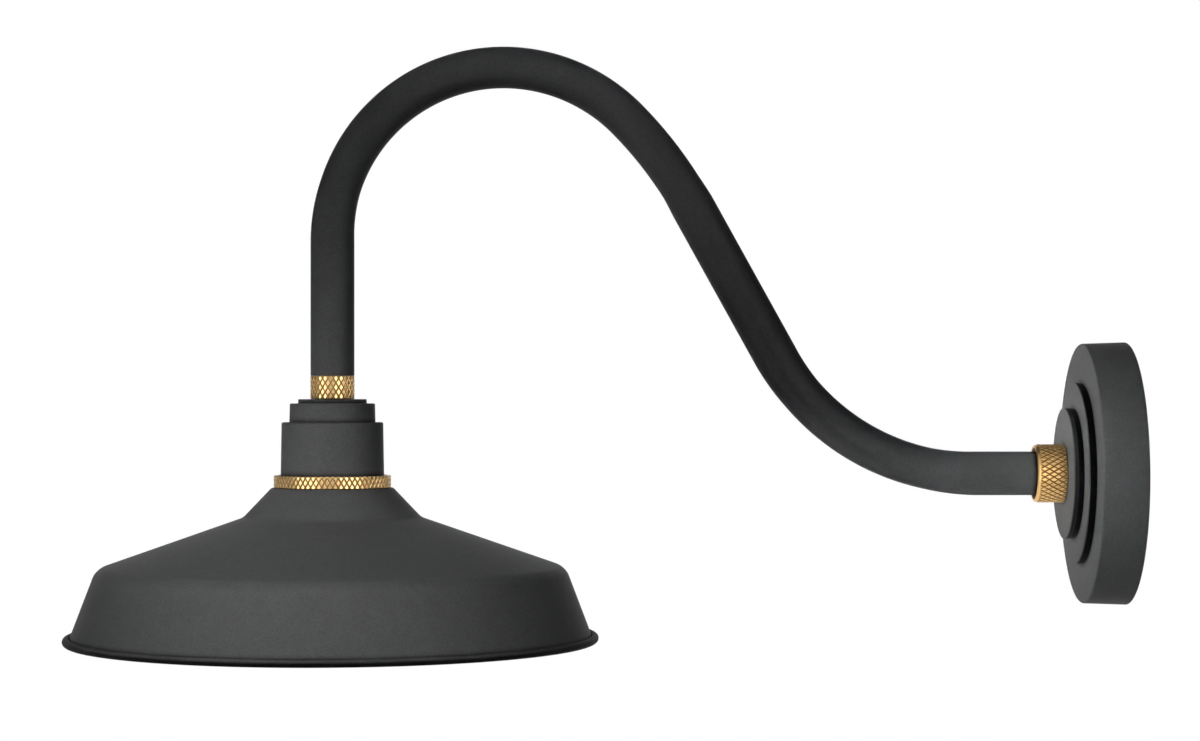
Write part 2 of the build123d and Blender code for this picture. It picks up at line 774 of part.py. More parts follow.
base_radius = lamp_crest_radius - lamp_thread_depth
with BuildPart() as bulb_insulator:
    turned(head_profile, head_axis, [
        (0, base_top),
        (base_radius - base_wall, base_top),
        (insulator_tip, insulator_top),
        (0, insulator_top),
    ])
bulb_insulator.part.label = "bulb_insulator"

with BuildPart() as bulb_base:
    turned(head_profile, head_axis, [
        (base_radius - base_wall, base_bottom),
        (base_radius, base_bottom),
        (base_radius, base_top),
        (base_radius - 2 * base_wall, base_top),
        (base_radius - 2 * base_wall, base_top - base_wall),
        (base_radius - base_wall, base_top - base_wall),
    ])
    ridge(base_radius, lamp_thread_depth, lamp_pitch, lamp_thread_length,
          Vector(*head_point(0, 0, lamp_thread_start)), Vector(0, 0, 1), lamp_pitch * lamp_thread_share)
bulb_base.part.label = "bulb_base"

# The globe is a sphere that a hollow curve joins to the neck
globe_center = globe_bottom + globe_radius
neck_end = base_bottom - globe_neck
neck_rise = neck_end - globe_center
hollow_square = globe_neck_radius ** 2 + neck_rise ** 2 - globe_radius ** 2
hollow_round = hollow_square / (2 * (globe_radius - globe_neck_radius))
hollow_x = globe_neck_radius + hollow_round
slope = Vector(hollow_x, neck_rise).normalized()


def globe_half(inset):
    """Add the globe's outline, or its inner wall, from the neck's end to the bottom."""
    radius = globe_radius - inset
    meet = (radius * slope.X, globe_center + radius * slope.Y)
    half_turn = Vector(-1, 0).get_angle(Vector(-slope.X, -slope.Y)) / 2
    bend = hollow_round + inset
    middle = (hollow_x - bend * cos(radians(half_turn)), neck_end - bend * sin(radians(half_turn)))
    ThreePointArc((globe_neck_radius - inset, neck_end), middle, meet)
    low_turn = radians(45)
    low = (radius * sin(low_turn), globe_center - radius * cos(low_turn))
    ThreePointArc(meet, low, (0, globe_bottom + inset))


spigot_radius = base_radius - base_wall - slide_gap
spigot_top = base_bottom + globe_spigot
with BuildPart() as bulb_globe:
    with BuildSketch(head_profile):
        with BuildLine():
            globe_half(0)
            Line((0, globe_bottom), (0, globe_bottom + globe_wall))
            globe_half(globe_wall)
            Polyline((globe_neck_radius - globe_wall, neck_end), (spigot_radius - globe_wall, base_bottom),
                     (spigot_radius - globe_wall, spigot_top), (spigot_radius, spigot_top),
                     (spigot_radius, base_bottom), (globe_neck_radius, base_bottom),
                     (globe_neck_radius, neck_end))
        make_face()
    revolve(axis=head_axis)
bulb_globe.part.label = "bulb_globe"

# Leads from the canopy, through the arm, to just inside the cap
lead_end = tip_flange_bottom - lead_setback


def make_lead(side):
    """Sweep one lead: aside in the canopy, along the arm and down to the head."""
    across = side * lead_offset
    corner = Vector(across, -lead_side_depth - lead_bend, 0)
    turn_start = Vector(across + side * lead_bend, -lead_side_depth, 0)
    along = arm_route(across)
    with BuildLine() as route:
        Line(Vector(side * lead_side_reach, -lead_side_depth, 0), turn_start)
        TangentArc(turn_start, corner, tangent=(-side, 0, 0))
        Line(corner, along @ 0)
        add(along)
        Line(along @ 1, Vector(across, tip.Y, lead_end))
    path = route.wire()
    with BuildSketch(Plane(path @ 0, z_dir=path % 0)) as section:
        Circle(lead_radius)
    sweep(section.sketch, path=path)
    print("lead", side, "length", round(path.length, 1), "tightest bend", lead_bend)


with BuildPart() as lead_live:
    make_lead(1)
lead_live.part.label = "lead_live"

with BuildPart() as lead_neutral:
    make_lead(-1)
lead_neutral.part.label = "lead_neutral"

with BuildPart() as wire_connectors:
    for side in (1, -1):
        mouth = Vector(side * (lead_side_reach - connector_socket), -lead_side_depth, 0)
        way = Vector(side, 0, 0)
        with BuildSketch(Plane(mouth, z_dir=way)):
            Circle(connector_radius)
        with BuildSketch(Plane(mouth + way * connector_length, z_dir=way)):
            Circle(connector_tip_radius)
        loft()
        with BuildSketch(Plane(mouth, z_dir=way)):
            Circle(lead_radius + slide_gap)
        extrude(amount=connector_socket + face_gap, mode=Mode.SUBTRACT)
wire_connectors.part.label = "wire_connectors"

# Tails from the holder's terminals up to push-on sleeves that meet the leads
tail_top = lead_end - face_gap
terminal_top = holder_shoulder + terminal_head_height
tail_bend_top = cap_ceiling + tail_rise
tail_bend_bottom = terminal_top + tail_run


def tail_points(side):
    """The corners of one tail, from the sleeve down to its terminal screw."""
    return [
        head_point(side * lead_offset, 0, tail_top),
        head_point(side * lead_offset, 0, tail_bend_top),
        head_point(side * terminal_x, side * terminal_y, tail_bend_bottom),
        head_point(side * terminal_x, side * terminal_y, terminal_top),
    ]


def tail_radii(points):
    """The largest easy bend at each corner, from the shorter run and the tangent of half the turn."""
    corners = [Vector(*point) for point in points]
    runs = [after - before for before, after in zip(corners, corners[1:])]
    return [easy_bend_share * min(first.length, second.length) / tan(radians(first.get_angle(second) / 2))
            for first, second in zip(runs, runs[1:])]


with BuildPart() as socket_tails:
    for side in (1, -1):
        with BuildLine() as tail_line:
            FilletPolyline(*tail_points(side), radius=tail_radii(tail_points(side)))
        with BuildSketch(Plane(tail_line.line @ 0, z_dir=tail_line.line % 0)) as tail_section:
            Circle(tail_radius)
        sweep(tail_section.sketch, path=tail_line.line)
socket_tails.part.label = "socket_tails"
print("tail bends", [round(radius, 1) for radius in tail_radii(tail_points(1))])

sleeve_radius = tail_radius + slide_gap + sleeve_wall
with BuildPart() as lead_sleeves:
    with BuildSketch(Plane.XY.offset(tail_top)):
        with Locations(*[head_point(side * lead_offset, 0, 0)[:2] for side in (1, -1)]):
            Circle(sleeve_radius)
            Circle(tail_radius + slide_gap, mode=Mode.SUBTRACT)
    extrude(amount=-sleeve_length)
lead_sleeves.part.label = "lead_sleeves"

pieces = [
    wall_canopy, wall_gasket, mounting_bar, canopy_set_screws, ground_screw, canopy_hub, hub_washer, hub_nut,
    arm_root_fitting, arm_root_seal, gooseneck_arm, arm_tip_fitting, arm_tip_seal, wall_collar, arm_collar,
    lead_live, lead_neutral, wire_connectors, socket_tails, lead_sleeves,
    socket_cap, socket_cup, cup_seal_ring, shade_ring, shade, shade_collar, socket_bracket, cap_screws,
    socket_body, holder_screw, screw_shell, centre_contact, terminal_screws,
    bulb_button, bulb_insulator, bulb_base, bulb_globe,
]
os.makedirs("parts", exist_ok=True)
for piece in pieces:
    export_step(piece.part, f"parts/{piece.part.label}.step")
print("reach", round(reach, 2), "arm tip", round(tip.Z, 2), "rim bottom", round(bead_z - bead_radius, 2))
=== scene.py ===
"""Barn light: the modelled and finished look of a gooseneck wall light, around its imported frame.

Metres. +Z is up and the wall is the plane Y = 0. The arm reaches out along -Y, and the lamp head hangs on an
upright axis at the arm's tip.
"""
import json
import math

import bmesh
import bpy
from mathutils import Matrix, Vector


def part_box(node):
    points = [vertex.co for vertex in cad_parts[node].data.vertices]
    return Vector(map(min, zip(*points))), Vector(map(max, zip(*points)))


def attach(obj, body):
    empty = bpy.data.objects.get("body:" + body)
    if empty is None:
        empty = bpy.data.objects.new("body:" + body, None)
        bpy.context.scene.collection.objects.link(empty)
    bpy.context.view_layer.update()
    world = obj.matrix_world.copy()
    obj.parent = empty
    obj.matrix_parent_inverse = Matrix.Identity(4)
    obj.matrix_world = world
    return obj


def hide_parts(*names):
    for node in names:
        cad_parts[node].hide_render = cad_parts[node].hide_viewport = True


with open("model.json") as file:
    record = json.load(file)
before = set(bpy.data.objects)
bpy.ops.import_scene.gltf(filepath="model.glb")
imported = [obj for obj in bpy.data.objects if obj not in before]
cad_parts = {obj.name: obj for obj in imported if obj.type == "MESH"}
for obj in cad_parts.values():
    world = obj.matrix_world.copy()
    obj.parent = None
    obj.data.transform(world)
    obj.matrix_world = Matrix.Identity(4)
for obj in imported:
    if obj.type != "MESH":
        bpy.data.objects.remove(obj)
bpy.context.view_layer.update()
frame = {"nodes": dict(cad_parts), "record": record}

nodes = frame["nodes"]
MM = 0.001

# Places that the frame gives
shade_low, shade_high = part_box("shade")
arm_collar_low, arm_collar_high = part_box("arm_collar")
shade_ring_low, shade_ring_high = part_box("shade_ring")
head_y = (shade_low.y + shade_high.y) / 2

# How near two points are the same one, and how near their doubles are merged
same_place = 1e-6
merge_reach = 1e-7

# Arm: a bent tube, from the wall collar up over the crown and down to the head
arm_radius = 12.5 * MM
arm_wall = 1.6 * MM
arm_facets = 96
tube_start = 46.8 * MM   # from the wall

# The arm's line: a bend is its radius and its turn in degrees, which is positive upwards
wall_run = 39.0 * MM
wall_bend = (130.3 * MM, 61.0)
rise_length = 98.1 * MM
ease_bend = (228.0 * MM, -15.7)
crown_bend = (99.7 * MM, -46.8)
nose_bend = (97.8 * MM, -88.5)
drop_length = 78.6 * MM
bend_step = 1.5          # degrees
fewest_bend_steps = 10
bend_flatness = 0.95     # a bent tube's depth in the plane of the bend, over its width
flattening_share = 0.2   # of a bend, where its section goes from round to flattened

# Canopy: a drum with two discs in front of it, each with a thin lip over a side that is coloured with painted
# shade
drum_radius = 75.0 * MM
drum_back_rounding = 0.6 * MM
drum_front_radius = 74.2 * MM
drum_front_rounding = 1.0 * MM
drum_depth = 25.0 * MM
drum_bore = 71.8 * MM
middle_disc_radius = 52.0 * MM
middle_disc_face = 29.4 * MM
middle_disc_lip = 0.9 * MM
middle_lip_back_rounding = 0.25 * MM
middle_lip_front_rounding = 0.4 * MM
front_disc_radius = 37.6 * MM
front_disc_face = 35.0 * MM
front_disc_lip = 0.7 * MM
front_lip_back_rounding = 0.2 * MM
front_lip_front_rounding = 0.3 * MM
side_setback = 0.4 * MM
canopy_wall = 3.2 * MM
hub_hole_radius = 12.2 * MM
gasket_seat_radius = 72.55 * MM
gasket_seat_depth = 3.0 * MM
set_screw_radius = 2.05 * MM
set_screw_from_wall = 10.0 * MM
drill_length = 2.2 * drum_radius
drill_facets = 24

# Knurled rings: long diamonds with flat tops, between two lips as low as the grooves
diamond_length = 5.2 * MM
diamond_top = 0.58       # the size of a diamond's flat top, over the size of its foot
knurl_depth = 0.4 * MM
groove_share = 0.72      # of the knurl's height, from which its brass is bright
crest_wear = 0.06 * MM   # under the crests, where the knurl counts as full height
lip_bright = 1.6 * MM    # under the crests, from which a lip's end is bright
# Painted shade: the bore and the inner part of a ring's ends are coloured dark from this depth under the
# crests
bore_painted_shade = 2.2 * MM     # under the crests, from which the bore is dark
ring_lip = 0.4 * MM

# Wall collar: places along the canopy's axis, from the wall
wall_collar_radius = 16.7 * MM
wall_collar_lip = wall_collar_radius - knurl_depth
wall_collar_thread = 15.2 * MM
wall_collar_mouth = 12.8 * MM
wall_collar_start = 35.2 * MM
wall_collar_knurl_start = wall_collar_start + ring_lip
wall_collar_knurl_end = 50.1 * MM
wall_collar_shoulder = 46.9 * MM
wall_collar_end = 52.0 * MM
wall_collar_diamonds = 34

# Rings on the head's axis: a shoulder lies this deep under a ring's upper end
arm_collar_radius = 12.6 * MM
arm_collar_thread = 11.2 * MM
arm_collar_mouth = 8.1 * MM
arm_collar_shoulder = 2.5 * MM
arm_collar_diamonds = 25
shade_ring_radius = 33.45 * MM
shade_ring_thread = 31.35 * MM
shade_ring_mouth = 29.8 * MM
shade_ring_shoulder = 1.6 * MM
shade_ring_diamonds = 66

# Shade: a spun sheet with a wired rim; a drop is measured from its top
shade_wall = 1.2 * MM
neck_bore = 27.0 * MM
neck_radius = 34.8 * MM
neck_foot_radius = 50.9 * MM
neck_foot_drop = 16.9 * MM
shoulder_radius = 133.7 * MM
shoulder_drop = 45.9 * MM
skirt_foot_radius = 148.9 * MM

# Rounding of the shade's corners outside and inside, from the neck down
neck_roundings = (1.6 * MM, 0.4 * MM)
neck_foot_roundings = (7.0 * MM, 8.2 * MM)
shoulder_roundings = (10.0 * MM, 8.8 * MM)

# Rolled rim: the groove over it starts up the skirt, and the roll runs between two angles in degrees
rim_radius = 150.05 * MM
bead_radius = 2.35 * MM
rim_z = shade_low.z + bead_radius
groove_rise = 2.3 * MM
groove_run = 1.2 * MM
groove_depth = 0.1 * MM
roll_start = 118
roll_end = -172
roll_steps = 24
# Faces of the rolled rim and its groove, out beyond this radius and below this rise, get the finish with
# painted shade
rim_painted_shade_radius = 147.4 * MM
rim_painted_shade_rise = 2.4 * MM

# Facets round a turned piece, and segments of its rounded corners
turned_facets = 192
shade_corner_segments = 10
canopy_corner_segments = 5

# Degrees between faces under which a piece is shaded smooth
ring_smoothing = 24
arm_smoothing = 40
turned_smoothing = 30

# Studio: a floor far below the light, of paper that runs out into plain white between two distances
floor_drop = 1.6
floor_size = 60
paper_level = 0.8
paper_reach = (0.8, 2.2)
paper_on_matt = 0.1      # the paper's level as matt surfaces see it

# The room's level on matt surfaces, and what glossy ones show of it from the front round to the backdrop
room_light = 0.05
room_shown = ((0.0, 0.65), (0.3, 0.65), (0.5, 0.05), (0.86, 0.05), (0.95, 1.0))

# Camera: its place, and the pixel of the photo that its axis meets
camera_place = (1.603, -0.30585, 0.04794)
camera_lens = 84
camera_sensor = 36
photo_width = 1200
photo_height = 741
axis_pixel_across = 590.2
axis_pixel_down = 389.6


def begin_piece(name, add_primitive, **size):
    """Add a primitive at the origin under the piece's name, and open it with everything selected."""
    bpy.ops.object.select_all(action="DESELECT")
    add_primitive(location=(0, 0, 0), **size)
    piece = bpy.context.active_object
    piece.name = piece.data.name = name
    bpy.ops.object.mode_set(mode="EDIT")
    bpy.ops.mesh.select_mode(type="VERT")
    bpy.ops.mesh.select_all(action="SELECT")
    return piece


def pick(piece, wanted, kind="verts"):
    """Select the vertices, edges or faces of an open piece that a test accepts."""
    bpy.ops.mesh.select_mode(type={"verts": "VERT", "edges": "EDGE", "faces": "FACE"}[kind])
    bpy.ops.mesh.select_all(action="DESELECT")
    mesh = bmesh.from_edit_mesh(piece.data)
    for item in getattr(mesh, kind):
        if wanted(item):
            item.select_set(True)
    mesh.select_flush_mode()
    bmesh.update_edit_mesh(piece.data)


def at_corner(corner):
    """A test for the vertex at a corner of a half section, given as (radius, distance along the axis)."""
    place = Vector((corner[0], 0, corner[1]))
    return lambda vertex: (vertex.co - place).length < same_place


def draw_line(points):
    """Extrude the selected vertex along points given as (radius, distance along the axis)."""
    for before, after in zip(points, points[1:]):
        step = (after[0] - before[0], 0, after[1] - before[1])
        bpy.ops.mesh.extrude_region_move(TRANSFORM_OT_translate={"value": step})


def begin_outline(name, start):
    """Begin a half section with one vertex, at (radius, distance along the axis)."""
    piece = begin_piece(name, bpy.ops.mesh.primitive_plane_add, size=MM)
    bpy.ops.mesh.merge(type="CENTER")
    bpy.ops.transform.translate(value=(start[0], 0, start[1]))
    return piece


def turn_at(points, number):
    """The turn of a line at one of its corners, in radians."""
    before = Vector(points[number]) - Vector(points[number - 1])
    after = Vector(points[number + 1]) - Vector(points[number])
    return before.angle(after)


def round_corner(piece, corner, rounding, turn, segments):
    """Round one corner of a half section, where its line takes a turn in radians."""
    pick(piece, at_corner(corner))
    setback = rounding * math.tan(turn / 2)
    bpy.ops.mesh.bevel(affect="VERTICES", offset=setback, segments=segments, profile=0.5)


def clean_skin(reach=merge_reach):
    """Merge the doubles of an open piece and turn its faces outwards."""
    bpy.ops.mesh.select_all(action="SELECT")
    bpy.ops.mesh.remove_doubles(threshold=reach)
    bpy.ops.mesh.normals_make_consistent(inside=False)


def turn_about_axis():
    """Spin an open half section round the Z axis into a closed skin."""
    bpy.ops.mesh.select_all(action="SELECT")
    bpy.ops.mesh.spin(steps=turned_facets, angle=2 * math.pi, center=(0, 0, 0), axis=(0, 0, 1))
    clean_skin()


def make_active(piece):
    """Select one piece alone."""
    bpy.ops.object.select_all(action="DESELECT")
    piece.select_set(True)
    bpy.context.view_layer.objects.active = piece


def close_piece(piece, smooth_below):
    """Leave edit mode and shade smooth where faces meet under an angle in degrees."""
    bpy.ops.object.mode_set(mode="OBJECT")
    make_active(piece)
    bpy.ops.object.shade_smooth_by_angle(angle=math.radians(smooth_below))


def put_on_head(piece):
    """Move a piece from the Z axis to the head's axis."""
    piece.location = (0, head_y, 0)
    bpy.ops.object.transform_apply(location=True, rotation=True, scale=True)


def put_on_wall(piece):
    """Lay a piece's Z axis along the canopy's axis, out from the wall."""
    piece.rotation_euler = (math.pi / 2, 0, 0)
    bpy.ops.object.transform_apply(location=True, rotation=True, scale=True)


def apply_modifier(piece, kind, **settings):
    """Add a modifier with these settings and apply it."""
    modifier = piece.modifiers.new(kind.title(), kind)
    for setting, value in settings.items():
        setattr(modifier, setting, value)
    bpy.ops.object.modifier_apply(modifier=modifier.name)


def wear(piece, *materials):
    """Give a piece its materials."""
    piece.data.materials.clear()
    for material in materials:
        piece.data.materials.append(material)


def paint_faces(piece, slot, wanted):
    """Give the material in one slot to the faces of an open piece that a test accepts."""
    pick(piece, wanted, "faces")
    piece.active_material_index = slot
    bpy.ops.object.material_slot_assign()


# Nodes of the finishes
def begin_finish(name, colour, roughness, metallic=0.0, specular=0.5):
    """A new material with its own shader settings; returns it with its tree and its shader."""
    material = bpy.data.materials.new(name)
    material.use_nodes = True
    tree = material.node_tree
    shader = tree.nodes["Principled BSDF"]
    shader.inputs["Base Color"].default_value = (*colour, 1)
    shader.inputs["Roughness"].default_value = roughness
    shader.inputs["Metallic"].default_value = metallic
    shader.inputs["Specular IOR Level"].default_value = specular
    return material, tree, shader


def grey(level):
    """The three parts of a grey."""
    return (level, level, level)


def add_node(tree, kind, **inputs):
    """Add a shader node and set its inputs by name."""
    node = tree.nodes.new(kind)
    for name, value in inputs.items():
        node.inputs[name.replace("_", " ")].default_value = value
    return node


def own_place(tree):
    """The place on the piece, in its own coordinates."""
    return tree.nodes.new("ShaderNodeTexCoord").outputs["Object"]


def work_on(tree, operation, vector, other=(0, 0, 0)):
    """Work on a vector, with another fixed one where the operation takes two."""
    node = tree.nodes.new("ShaderNodeVectorMath")
    node.operation = operation
    tree.links.new(vector, node.inputs[0])
    node.inputs[1].default_value = other
    return node


def larger(tree, first, second):
    """The larger of two values."""
    node = tree.nodes.new("ShaderNodeMath")
    node.operation = "MAXIMUM"
    tree.links.new(first, node.inputs[0])
    tree.links.new(second, node.inputs[1])
    return node.outputs["Value"]


def grain(tree, size, detail):
    """Noise whose grain is about this size in metres, on the piece's own coordinates."""
    noise = add_node(tree, "ShaderNodeTexNoise", Scale=1 / size, Detail=detail, Roughness=0.55)
    tree.links.new(own_place(tree), noise.inputs["Vector"])
    return noise.outputs["Fac"]


def spread(tree, value, low, high, start=0.3, end=0.7):
    """Map a value between start and end to a range of numbers."""
    mapper = add_node(tree, "ShaderNodeMapRange", From_Min=start, From_Max=end, To_Min=low, To_Max=high)
    tree.links.new(value, mapper.inputs["Value"])
    return mapper.outputs["Result"]


def shift_colour(tree, value, low, high, start=0.3, end=0.7):
    """Map a value between start and end to a blend of two colours."""
    ramp = tree.nodes.new("ShaderNodeValToRGB")
    ramp.color_ramp.elements[0].position = start
    ramp.color_ramp.elements[1].position = end
    ramp.color_ramp.elements[0].color = (*low, 1)
    ramp.color_ramp.elements[1].color = (*high, 1)
    tree.links.new(value, ramp.inputs["Fac"])
    return ramp.outputs["Color"]


def grey_ramp(tree, value, stops):
    """Map a 0 to 1 value to greys, by stops given as (place, level)."""
    ramp = tree.nodes.new("ShaderNodeValToRGB")
    elements = ramp.color_ramp.elements
    for number, (position, level) in enumerate(stops):
        stop = elements[number] if number < len(elements) else elements.new(position)
        stop.position = position
        stop.color = (*grey(level), 1)
    tree.links.new(value, ramp.inputs["Fac"])
    return ramp.outputs["Color"]


def raise_grain(tree, shader, value, height, strength):
    """Bump the shader's surface by a 0 to 1 value."""
    bump = add_node(tree, "ShaderNodeBump", Strength=strength, Distance=height)
    tree.links.new(value, bump.inputs["Height"])
    tree.links.new(bump.outputs["Normal"], shader.inputs["Normal"])


def multiply_colour(tree, first, second):
    """Multiply two colours."""
    mix = tree.nodes.new("ShaderNodeMix")
    mix.data_type = "RGBA"
    mix.blend_type = "MULTIPLY"
    mix.inputs["Factor"].default_value = 1
    tree.links.new(first, mix.inputs[6])
    tree.links.new(second, mix.inputs[7])
    return mix.outputs[2]


def paint_shade_along(tree, colour, axis, start, end, stops):
    """Darken a colour as painted shade, by the place along one of the piece's axes; stops are (place, level),
    from 0 to 1.
    """
    parts = tree.nodes.new("ShaderNodeSeparateXYZ")
    tree.links.new(own_place(tree), parts.inputs["Vector"])
    level = grey_ramp(tree, spread(tree, parts.outputs[axis], 0, 1, start, end), stops)
    return multiply_colour(tree, colour, level)


def paint_corner_shade(tree, colour):
    """Paint shade on a colour: darken it where another surface stands close, in corners and crevices."""
    corner = add_node(tree, "ShaderNodeAmbientOcclusion", Distance=5 * MM)
    corner.samples = 8
    level = shift_colour(tree, corner.outputs["AO"], grey(0.03), grey(1), 0.5, 0.82)
    return multiply_colour(tree, colour, level)


def paint_edge_wear_and_highlight(tree, colour, lighter):
    """Lighten a colour along the edges of a piece, where the coat is thin and rubbed, and as a painted
    highlight on the rounded edges.
    """
    rounded = add_node(tree, "ShaderNodeBevel", Radius=0.9 * MM)
    rounded.samples = 6
    surface = tree.nodes.new("ShaderNodeNewGeometry")
    turn = work_on(tree, "DOT_PRODUCT", rounded.outputs["Normal"])
    tree.links.new(surface.outputs["Normal"], turn.inputs[1])
    level = shift_colour(tree, turn.outputs["Value"], grey(lighter), grey(1), 0.86, 0.995)
    return multiply_colour(tree, colour, level)


# Finishes
def graphite_paint(name, shaded=None, specular=0.05):
    """Matt dark grey powder coat: sandy grain, mottling, rubbed edges with a painted highlight, painted
    corner shade.

    Painted shade along an axis of a piece is given as its axis, start, end and stops.
    """
    material, tree, shader = begin_finish(name, (0.066, 0.067, 0.068), 0.55, specular=specular)
    mottle = shift_colour(tree, grain(tree, 7 * MM, 4), (0.0635, 0.0645, 0.0655), (0.0695, 0.0705, 0.0715))
    speck = shift_colour(tree, grain(tree, 0.8 * MM, 3), grey(0.76), grey(1.12))
    # Painted shade in corners and crevices
    colour = paint_corner_shade(tree, multiply_colour(tree, mottle, speck))
    # Rubbed edges, lightened further as a painted highlight
    colour = paint_edge_wear_and_highlight(tree, colour, 1.35)
    if shaded:
        colour = paint_shade_along(tree, colour, *shaded)
    tree.links.new(colour, shader.inputs["Base Color"])
    tree.links.new(spread(tree, grain(tree, 0.7 * MM, 2), 0.48, 0.62), shader.inputs["Roughness"])
    raise_grain(tree, shader, grain(tree, 0.5 * MM, 3), 0.06 * MM, 0.4)
    return material


def knurl_height(tree, centre, along, crest_radius, span):
    """How far a ring's surface stands out, from 0 in grooves and bore to 1 on crests and lips.

    The knurl's span is given by its two ends, along the axis from the centre.
    """
    centred = add_node(tree, "ShaderNodeMapping", Location=[-part for part in centre])
    tree.links.new(own_place(tree), centred.inputs["Vector"])
    place = centred.outputs["Vector"]
    flat = work_on(tree, "MULTIPLY", place, [1 - part for part in along])
    distance = work_on(tree, "LENGTH", flat.outputs["Vector"]).outputs["Value"]
    on_knurl = spread(tree, distance, 0, 1, crest_radius - knurl_depth, crest_radius - crest_wear)
    on_lip = spread(tree, distance, 0, 1, crest_radius - bore_painted_shade, crest_radius - lip_bright)
    in_span = tree.nodes.new("ShaderNodeMath")
    in_span.operation = "COMPARE"
    in_span.inputs[1].default_value = (span[0] + span[1]) / 2
    in_span.inputs[2].default_value = (span[1] - span[0]) / 2
    tree.links.new(work_on(tree, "DOT_PRODUCT", place, along).outputs["Value"], in_span.inputs[0])
    either = tree.nodes.new("ShaderNodeMix")
    tree.links.new(in_span.outputs["Value"], either.inputs["Factor"])
    tree.links.new(on_lip, either.inputs["A"])
    tree.links.new(on_knurl, either.inputs["B"])
    return either.outputs["Result"]


def knurled_brass(name, centre, along, crest_radius, span, crest=(0.71, 0.485, 0.22), gloss=0.27):
    """Knurled ring brass: worn bright on diamonds' tops and lips, dark in grooves, painted shade in the bore.
    """
    material, tree, shader = begin_finish(name, (0.62, 0.42, 0.19), 0.28, metallic=1.0)
    height = knurl_height(tree, centre, along, crest_radius, span)
    # Dark in the grooves, and dark in the bore as painted shade
    groove = shift_colour(tree, height, (0.085, 0.036, 0.010), crest, 0.02, groove_share)
    tarnish = shift_colour(tree, grain(tree, 6 * MM, 3), (0.86, 0.82, 0.76), (1, 1, 1))
    tree.links.new(multiply_colour(tree, groove, tarnish), shader.inputs["Base Color"])
    tree.links.new(spread(tree, height, 0.5, gloss, 0, 1), shader.inputs["Roughness"])
    raise_grain(tree, shader, grain(tree, 0.25 * MM, 2), 0.01 * MM, 0.4)
    return material


def plain_finish(name, dark, light, roughness, metallic, grain_size, bump):
    """A finish with slow colour change, uneven gloss and a fine bump."""
    material, tree, shader = begin_finish(name, light, roughness[1], metallic)
    tree.links.new(shift_colour(tree, grain(tree, 12 * MM, 3), dark, light), shader.inputs["Base Color"])
    tree.links.new(spread(tree, grain(tree, 3 * MM, 4), *roughness), shader.inputs["Roughness"])
    raise_grain(tree, shader, grain(tree, grain_size, 3), bump, 0.4)
    return material


def frosted_glass():
    """White glass bulb, frosted inside, with a faint cloudiness."""
    material, tree, shader = begin_finish("frosted bulb glass", (0.93, 0.92, 0.90), 0.16)
    cloud = shift_colour(tree, grain(tree, 25 * MM, 2), (0.90, 0.89, 0.87), (0.95, 0.945, 0.93))
    tree.links.new(cloud, shader.inputs["Base Color"])
    tree.links.new(spread(tree, grain(tree, 4 * MM, 3), 0.12, 0.2), shader.inputs["Roughness"])
    shader.inputs["Subsurface Weight"].default_value = 0.3
    shader.inputs["Subsurface Radius"].default_value = grey(4 * MM)
    raise_grain(tree, shader, grain(tree, 1.5 * MM, 2), 0.01 * MM, 0.2)
    return material


wall_axis = (0, 1, 0)
head_axis = (0, 0, 1)
head_centre = (0, head_y, 0)
# Painted shade on the discs' sides: near black, with a dark grey strip along the front of the front disc's
# side
side_painted_shade_stops = ((0.0, 0.45), (0.24, 0.36), (0.3, 0.05), (0.6, 0.03), (1.0, 0.04))
# Painted shade on the rolled rim: black on its lower half and dark in the groove above it
rim_painted_shade_stops = ((0.0, 0.04), (0.45, 0.05), (0.6, 0.5), (0.8, 0.95), (1.0, 0.3))
paint = graphite_paint("graphite powder coat")
side_painted_shade = graphite_paint("graphite with painted shade on the discs' sides",
                            ("Y", -front_disc_face, -drum_depth, side_painted_shade_stops))
rim_painted_shade = graphite_paint("graphite with painted shade on the rolled rim",
                           ("Z", shade_low.z, shade_low.z + 2 * bead_radius, rim_painted_shade_stops), 0.02)
enamel = plain_finish("white shade enamel", (0.80, 0.79, 0.76), (0.84, 0.83, 0.80), (0.2, 0.32), 0,
                      2 * MM, 0.02 * MM)
